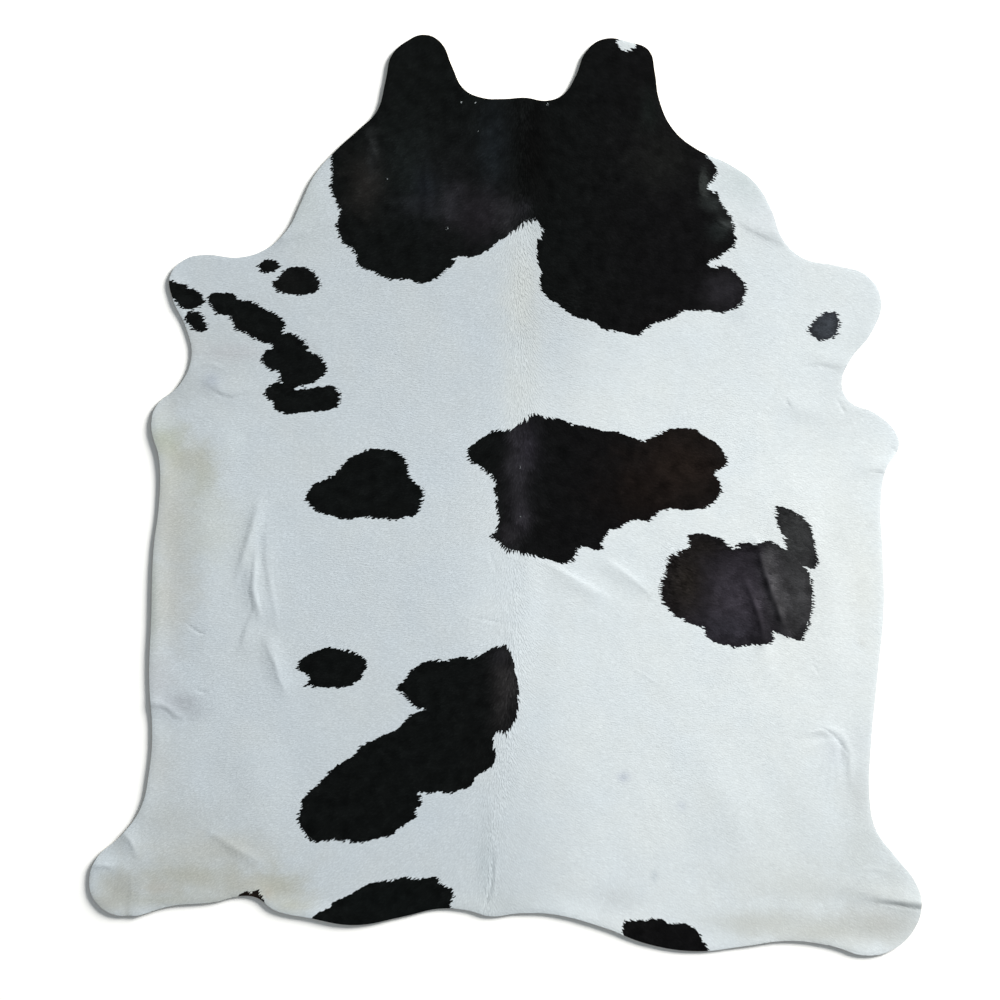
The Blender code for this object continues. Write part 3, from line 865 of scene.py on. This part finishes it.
# White cattle hair, short and undyed: dull and even in the mass, with a cool cast.
whiteHair = coatMaterial(
    "White cattle hair", "whiteColour", 0.04, 0.7, Roughness=0.8, Specular_IOR_Level=0.02)
# Black cattle hair: the same hair full of pigment, so that only its sheen shows its shape.
blackHair = coatMaterial(
    "Black cattle hair", "blackColour", 0.4, 0.9, Roughness=0.65, Specular_IOR_Level=0.012)

underhair = {
    "hairs": 1.1 * mm, "detail": 3.0, "shades": (0.88, 1.04), "softEdge": 0.3 * mm,
    "bump": 0.3 * mm, "bumpStrength": 0.2,
}


def bedMaterial():
    # the undermost hair, seen between the locks: black within the patches and white outside them
    material, tree, shader = newMaterial("Cattle underhair", Roughness=0.85, Specular_IOR_Level=0.012)
    place = add(tree, "ShaderNodeTexCoord").outputs["Object"]
    dark, white, black = [
        add(tree, "ShaderNodeAttribute", attribute_name=name).outputs
        for name in ("darkness", "whiteColour", "blackColour")]
    dark = jagged(tree, dark["Fac"], {"Vector": place})
    edge = add(tree, "ShaderNodeMapRange", {
        "Value": dark, "From Min": -underhair["softEdge"], "From Max": underhair["softEdge"]})
    both = {"Factor": edge, "A": white["Color"], "B": black["Color"]}
    mixed = add(tree, "ShaderNodeMix", both, data_type="RGBA")
    hairs = add(tree, noiseNode, {
        "Vector": place, "Scale": 1 / underhair["hairs"], "Detail": underhair["detail"]})
    darkest, palest = underhair["shades"]
    value = add(tree, "ShaderNodeMapRange", {"Value": hairs, "To Min": darkest, "To Max": palest})
    add(tree, "ShaderNodeVectorMath", {0: mixed, "Scale": value}, "SCALE", shader["Base Color"])
    bump = {"Strength": underhair["bumpStrength"], "Distance": underhair["bump"], "Height": hairs}
    add(tree, "ShaderNodeBump", bump, feeds=shader["Normal"])
    return material


suede = {
    "pale": "#CFC0A6", "dark": "#B9A88C", "clouds": 140 * mm, "fibres": 1.4 * mm, "tangle": 0.6,
    "detail": 4.0, "veins": 110 * mm, "veinWidth": 0.03, "veinShade": 0.94, "shades": (0.82, 1.1),
    "bump": 0.5 * mm, "bumpStrength": 0.5,
}


def suedeMaterial():
    # chrome-tanned flesh side, buffed: pale, matt and fibrous, with the veins' faint branching lines
    material, tree, shader = newMaterial("Buffed flesh-side suede", Roughness=0.92, Specular_IOR_Level=0.1)
    place = add(tree, "ShaderNodeTexCoord").outputs["Object"]
    detail = suede["detail"]
    clouds = add(tree, noiseNode, {"Vector": place, "Scale": 1 / suede["clouds"], "Detail": detail})
    fibres = add(tree, noiseNode, {
        "Vector": place, "Scale": 1 / suede["fibres"], "Detail": detail, "Distortion": suede["tangle"]})
    veins = add(tree, "ShaderNodeTexVoronoi", {"Vector": place, "Scale": 1 / suede["veins"]},
                feature="DISTANCE_TO_EDGE")
    vein = add(tree, "ShaderNodeMapRange", {
        "Value": veins, "From Max": suede["veinWidth"], "To Min": suede["veinShade"], "To Max": 1.0})
    pale, dark = [(*linear(suede[name]), 1) for name in ("pale", "dark")]
    cloudy = add(tree, "ShaderNodeMix", {"Factor": clouds, "A": pale, "B": dark}, data_type="RGBA")
    darkest, palest = suede["shades"]
    value = add(tree, "ShaderNodeMapRange", {"Value": fibres, "To Min": darkest, "To Max": palest})
    value = add(tree, mathNode, [value, vein], "MULTIPLY")
    add(tree, "ShaderNodeVectorMath", {0: cloudy, "Scale": value}, "SCALE", shader["Base Color"])
    bump = {"Strength": suede["bumpStrength"], "Distance": suede["bump"], "Height": fibres}
    add(tree, "ShaderNodeBump", bump, feeds=shader["Normal"])
    return material


hairBed.data.materials.append(bedMaterial())
skin.data.materials.append(suedeMaterial())

print("stage: hair locks")


def makeLock():
    # one flat closed lock, root at the origin and tip at y = 1; its height is kept as an attribute
    widest = lock["widest"]
    places = [(0, 0), (-0.5, widest), (0.5, widest), (0, widest), (0, 1)]
    rises = [lock["rootRise"], lock["sideRise"], lock["sideRise"], lock["rise"], lock["tipRise"]]
    faces = [(0, 2, 3), (0, 3, 1), (3, 2, 4), (1, 3, 4), (0, 1, 2), (2, 1, 4)]
    mesh = bpy.data.meshes.new("lock")
    mesh.from_pydata([(x, y, 0) for x, y in places], [], faces)
    mesh.shade_smooth()
    store(mesh, "rise", "FLOAT", np.array(rises)[:, None])
    layerUV = mesh.uv_layers.new(name="UVMap")
    for corner in mesh.loops:
        x, y = places[corner.vertex_index]
        layerUV.data[corner.index].uv = (x + 0.5, y)
    sharpen(mesh, lambda ends: 3 not in ends)
    return placed("lock", mesh)


spread = {  # from lock to lock
    "border": (-1.1 * mm, 1.1 * mm), "loft": (0.55, 1.45), "tint": (0.0, 1.0), "stray": (-0.1, 0.1),
    "length": (0.72, 1.2), "width": (0.7, 1.3),
}


def makeLockTree(lockObject):
    tree = bpy.data.node_groups.new("Lay hair locks", "GeometryNodeTree")
    tree.is_modifier = True
    kinds = {"Hide": "Geometry", "Back": "Float", "Front": "Float", "Black": "Bool", "Hair": "Material"}
    newSocket = tree.interface.new_socket
    ids = {name: newSocket(name=name, in_out="INPUT", socket_type="NodeSocket" + kind).identifier
           for name, kind in kinds.items()}
    newSocket(name="Locks", in_out="OUTPUT", socket_type="NodeSocketGeometry")
    given = add(tree, "NodeGroupInput").outputs
    marked = {name: add(tree, "GeometryNodeInputNamedAttribute", {"Name": name}, data_type="FLOAT")
              for name in ("darkness", "ahead", "ruffle", "rise", "loft")}
    chance = {}
    for seed, (name, (low, high)) in enumerate(spread.items(), lock["seed"]):
        inputs = {"Min": low, "Max": high, "Seed": seed}
        chance[name] = add(tree, "FunctionNodeRandomValue", inputs, data_type="FLOAT")

    roots = add(tree, "GeometryNodeDistributePointsOnFaces", {
        "Mesh": given["Hide"], "Distance Min": lock["spacing"], "Density Max": lock["most"],
        "Seed": lock["seed"]}, distribute_method="POISSON")

    # A root is black or white by its place, give or take a hair or two.
    blackness = jagged(tree, marked["darkness"], {})
    astray, longer = [
        add(tree, mathNode, [marked["ruffle"], lock[name], 1.0], "MULTIPLY_ADD")
        for name in ("looseAstray", "looseLonger")]
    blackness = add(tree, mathNode, [chance["border"], astray, blackness], "MULTIPLY_ADD")
    isBlack = add(tree, "FunctionNodeCompare", {"A": blackness, "B": 0.0}, "GREATER_THAN")
    kept = add(tree, "FunctionNodeBooleanMath", [isBlack, given["Black"]], "XNOR")
    y = add(tree, "ShaderNodeSeparateXYZ", [add(tree, "GeometryNodeInputPosition")]).outputs["Y"]
    for limit, operation in (("Front", "LESS_EQUAL"), ("Back", "GREATER_THAN")):
        within = add(tree, "FunctionNodeCompare", {"A": y, "B": given[limit]}, operation)
        kept = add(tree, "FunctionNodeBooleanMath", [kept, within], "AND")
    roots = add(
        tree, "GeometryNodeSeparateGeometry", {"Geometry": roots, "Selection": kept}, domain="POINT")

    # A lock that has little room to the cut edge is short, slim and low.
    length = lock["length"]
    for factor in (chance["length"], longer):
        length = add(tree, mathNode, [length, factor], "MULTIPLY")
    length = add(tree, mathNode, [length, marked["ahead"]], "MINIMUM")
    slim = add(tree, mathNode, [length, lock["slimmest"]], "MULTIPLY")
    width = add(tree, mathNode, [lock["width"], chance["width"]], "MULTIPLY")
    width = add(tree, mathNode, [width, slim], "MINIMUM")
    scale = add(tree, "ShaderNodeCombineXYZ", {"X": width, "Y": length, "Z": 1.0})
    short = add(tree, mathNode, [length, lock["length"]], "DIVIDE")
    short = add(tree, mathNode, [short, 1.0], "MINIMUM")
    looseness = add(tree, mathNode, [marked["ruffle"], 1.0], "ADD")
    loft = chance["loft"]
    for factor in (looseness, short):
        loft = add(tree, mathNode, [loft, factor], "MULTIPLY")
    for name, value in (("loft", loft), ("tint", chance["tint"])):
        inputs = {"Geometry": roots, "Name": name, "Value": value}
        roots = add(tree, "GeometryNodeStoreNamedAttribute", inputs)

    # Each lock runs with the hair around it, a little astray.
    flowNode = add(tree, "GeometryNodeInputNamedAttribute", {"Name": "flow"}, data_type="FLOAT_VECTOR")
    way = add(tree, "ShaderNodeSeparateXYZ", [flowNode]).outputs
    turn = add(tree, mathNode, [way["Y"], way["X"]], "ARCTAN2")
    turn = add(tree, mathNode, [turn, math.pi / 2], "SUBTRACT")
    drift = add(tree, noiseNode, {"Scale": 1 / lock["driftSize"], "Detail": 1.0})
    drift = add(tree, mathNode, [drift, 0.5], "SUBTRACT")
    for waver, share in ((drift, 2 * lock["drift"]), (chance["stray"], looseness)):
        turn = add(tree, mathNode, [waver, share, turn], "MULTIPLY_ADD")
    rotation = add(tree, "FunctionNodeEulerToRotation", [add(tree, "ShaderNodeCombineXYZ", {"Z": turn})])
    template = add(tree, "GeometryNodeObjectInfo", {"Object": lockObject}).outputs["Geometry"]
    locks = add(tree, "GeometryNodeInstanceOnPoints", {
        "Points": roots, "Instance": template, "Rotation": rotation, "Scale": scale})
    locks = add(tree, "GeometryNodeRealizeInstances", {"Geometry": locks})

    # Laid down on the hide, point by point, so that it follows every crease and ends at the cut edge.
    at = add(tree, "GeometryNodeInputPosition")
    plan = add(tree, "ShaderNodeSeparateXYZ", [at]).outputs
    high = add(tree, "ShaderNodeCombineXYZ", {"X": plan["X"], "Y": plan["Y"], "Z": far})
    found = add(tree, "GeometryNodeRaycast", {
        "Target Geometry": given["Hide"], "Source Position": high, "Ray Direction": (0.0, 0.0, -1.0),
        "Ray Length": 2 * far}).outputs
    nearest = add(tree, "GeometryNodeSampleNearestSurface", {
        "Mesh": given["Hide"], "Value": add(tree, "GeometryNodeInputPosition"), "Sample Position": at,
    }, data_type="FLOAT_VECTOR")
    ground = add(tree, "GeometryNodeSwitch", {
        "Switch": found["Is Hit"], "False": nearest, "True": found["Hit Position"]}, input_type="VECTOR")
    height = add(tree, mathNode, [marked["rise"], marked["loft"]], "MULTIPLY")
    offset = add(tree, "ShaderNodeCombineXYZ", {"Z": height})
    locks = add(tree, "GeometryNodeSetPosition", {"Geometry": locks, "Position": ground, "Offset": offset})
    locks = add(tree, "GeometryNodeSetMaterial", {"Geometry": locks, "Material": given["Hair"]})
    add(tree, "NodeGroupOutput", [locks])
    return tree, ids


coats = {  # whether it is black, and its y in metres from the tail's side to the head's
    "coat_white_rump": (False, -1.2, -0.66), "coat_white_loin": (False, -0.66, -0.28),
    "coat_white_ribs": (False, -0.28, 0.1), "coat_white_shoulders": (False, 0.1, 1.2),
    "coat_black_body": (True, -1.2, 0.3), "coat_black_neck": (True, 0.3, 1.2),
}
lockObject = makeLock()
lockTree, lockInputs = makeLockTree(lockObject)
carrier = placed("hair surface", surface)
pieces = [skin, hairBed]
for name, (isBlack, back, front) in coats.items():
    modifier = carrier.modifiers.new(name, "NODES")
    modifier.node_group = lockTree
    hair = blackHair if isBlack else whiteHair
    for key, value in {"Back": back, "Front": front, "Black": isBlack, "Hair": hair}.items():
        modifier[lockInputs[key]] = value
    ready = carrier.evaluated_get(bpy.context.evaluated_depsgraph_get())
    mesh = bpy.data.meshes.new_from_object(ready)
    mesh.name = name
    carrier.modifiers.remove(modifier)
    for spare in ("darkness", "ahead", "flow", "rise", "loft", "whiteColour" if isBlack else "blackColour"):
        if spare in mesh.attributes:
            mesh.attributes.remove(mesh.attributes[spare])
    piece = placed(name, mesh)
    pieces.append(piece)
    print("  ", name, len(mesh.polygons), "triangles")
bpy.data.objects.remove(carrier)
bpy.data.objects.remove(lockObject)

for piece in pieces:
    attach(piece, "root")
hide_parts("hide")

print("stage: studio")

studio = {
    "floor": "#FDFDFC",
    "floorSize": 40.0,
    "floorDrop": 0.3 * mm,
    "cameraHeight": 5.667,
    "lens": 85.0,
    "sky": "#E6EEF2",
    "skyStrength": 0.33,
    "keyPlace": (12.0, 8.7, 6.0),  # far, so that it falls evenly, and wide, for the soft edge of the shadow
    "keySize": 7.4,
    "keyPower": 7300.0,
    "keyColour": "#FFFDF9",
}

floorMesh = bpy.data.meshes.new("studio_floor")
half = studio["floorSize"] / 2
floorPlan = ((-half, -half), (half, -half), (half, half), (-half, half))
floorMesh.from_pydata([(x, y, -studio["floorDrop"]) for x, y in floorPlan], [], [(0, 1, 2, 3)])
floor = placed("studio_floor", floorMesh)
floorPaper, _, floorShader = newMaterial("Matt white studio paper", Roughness=1.0, Specular_IOR_Level=0.0)
floorShader["Base Color"].default_value = (*linear(studio["floor"]), 1)
floorMesh.materials.append(floorPaper)

keyLight = bpy.data.lights.new("key", "AREA")
keyLight.shape = "DISK"
keyLight.size = studio["keySize"]
keyLight.energy = studio["keyPower"]
keyLight.color = linear(studio["keyColour"])
key = placed("key", keyLight)
key.location = studio["keyPlace"]
key.rotation_euler = (-key.location).to_track_quat("-Z", "Y").to_euler()

scene = bpy.context.scene
world = bpy.data.worlds.new("studio")
world.use_nodes = True
sky = world.node_tree.nodes["Background"].inputs
sky["Color"].default_value = (*linear(studio["sky"]), 1)
sky["Strength"].default_value = studio["skyStrength"]
scene.world = world
scene.view_settings.view_transform = "Standard"

cameraData = bpy.data.cameras.new("camera")
cameraData.lens = studio["lens"]
camera = placed("camera", cameraData)
camera.location = (*onFloor(photo["width"] / 2, photo["width"] / 2), studio["cameraHeight"])
scene.camera = camera
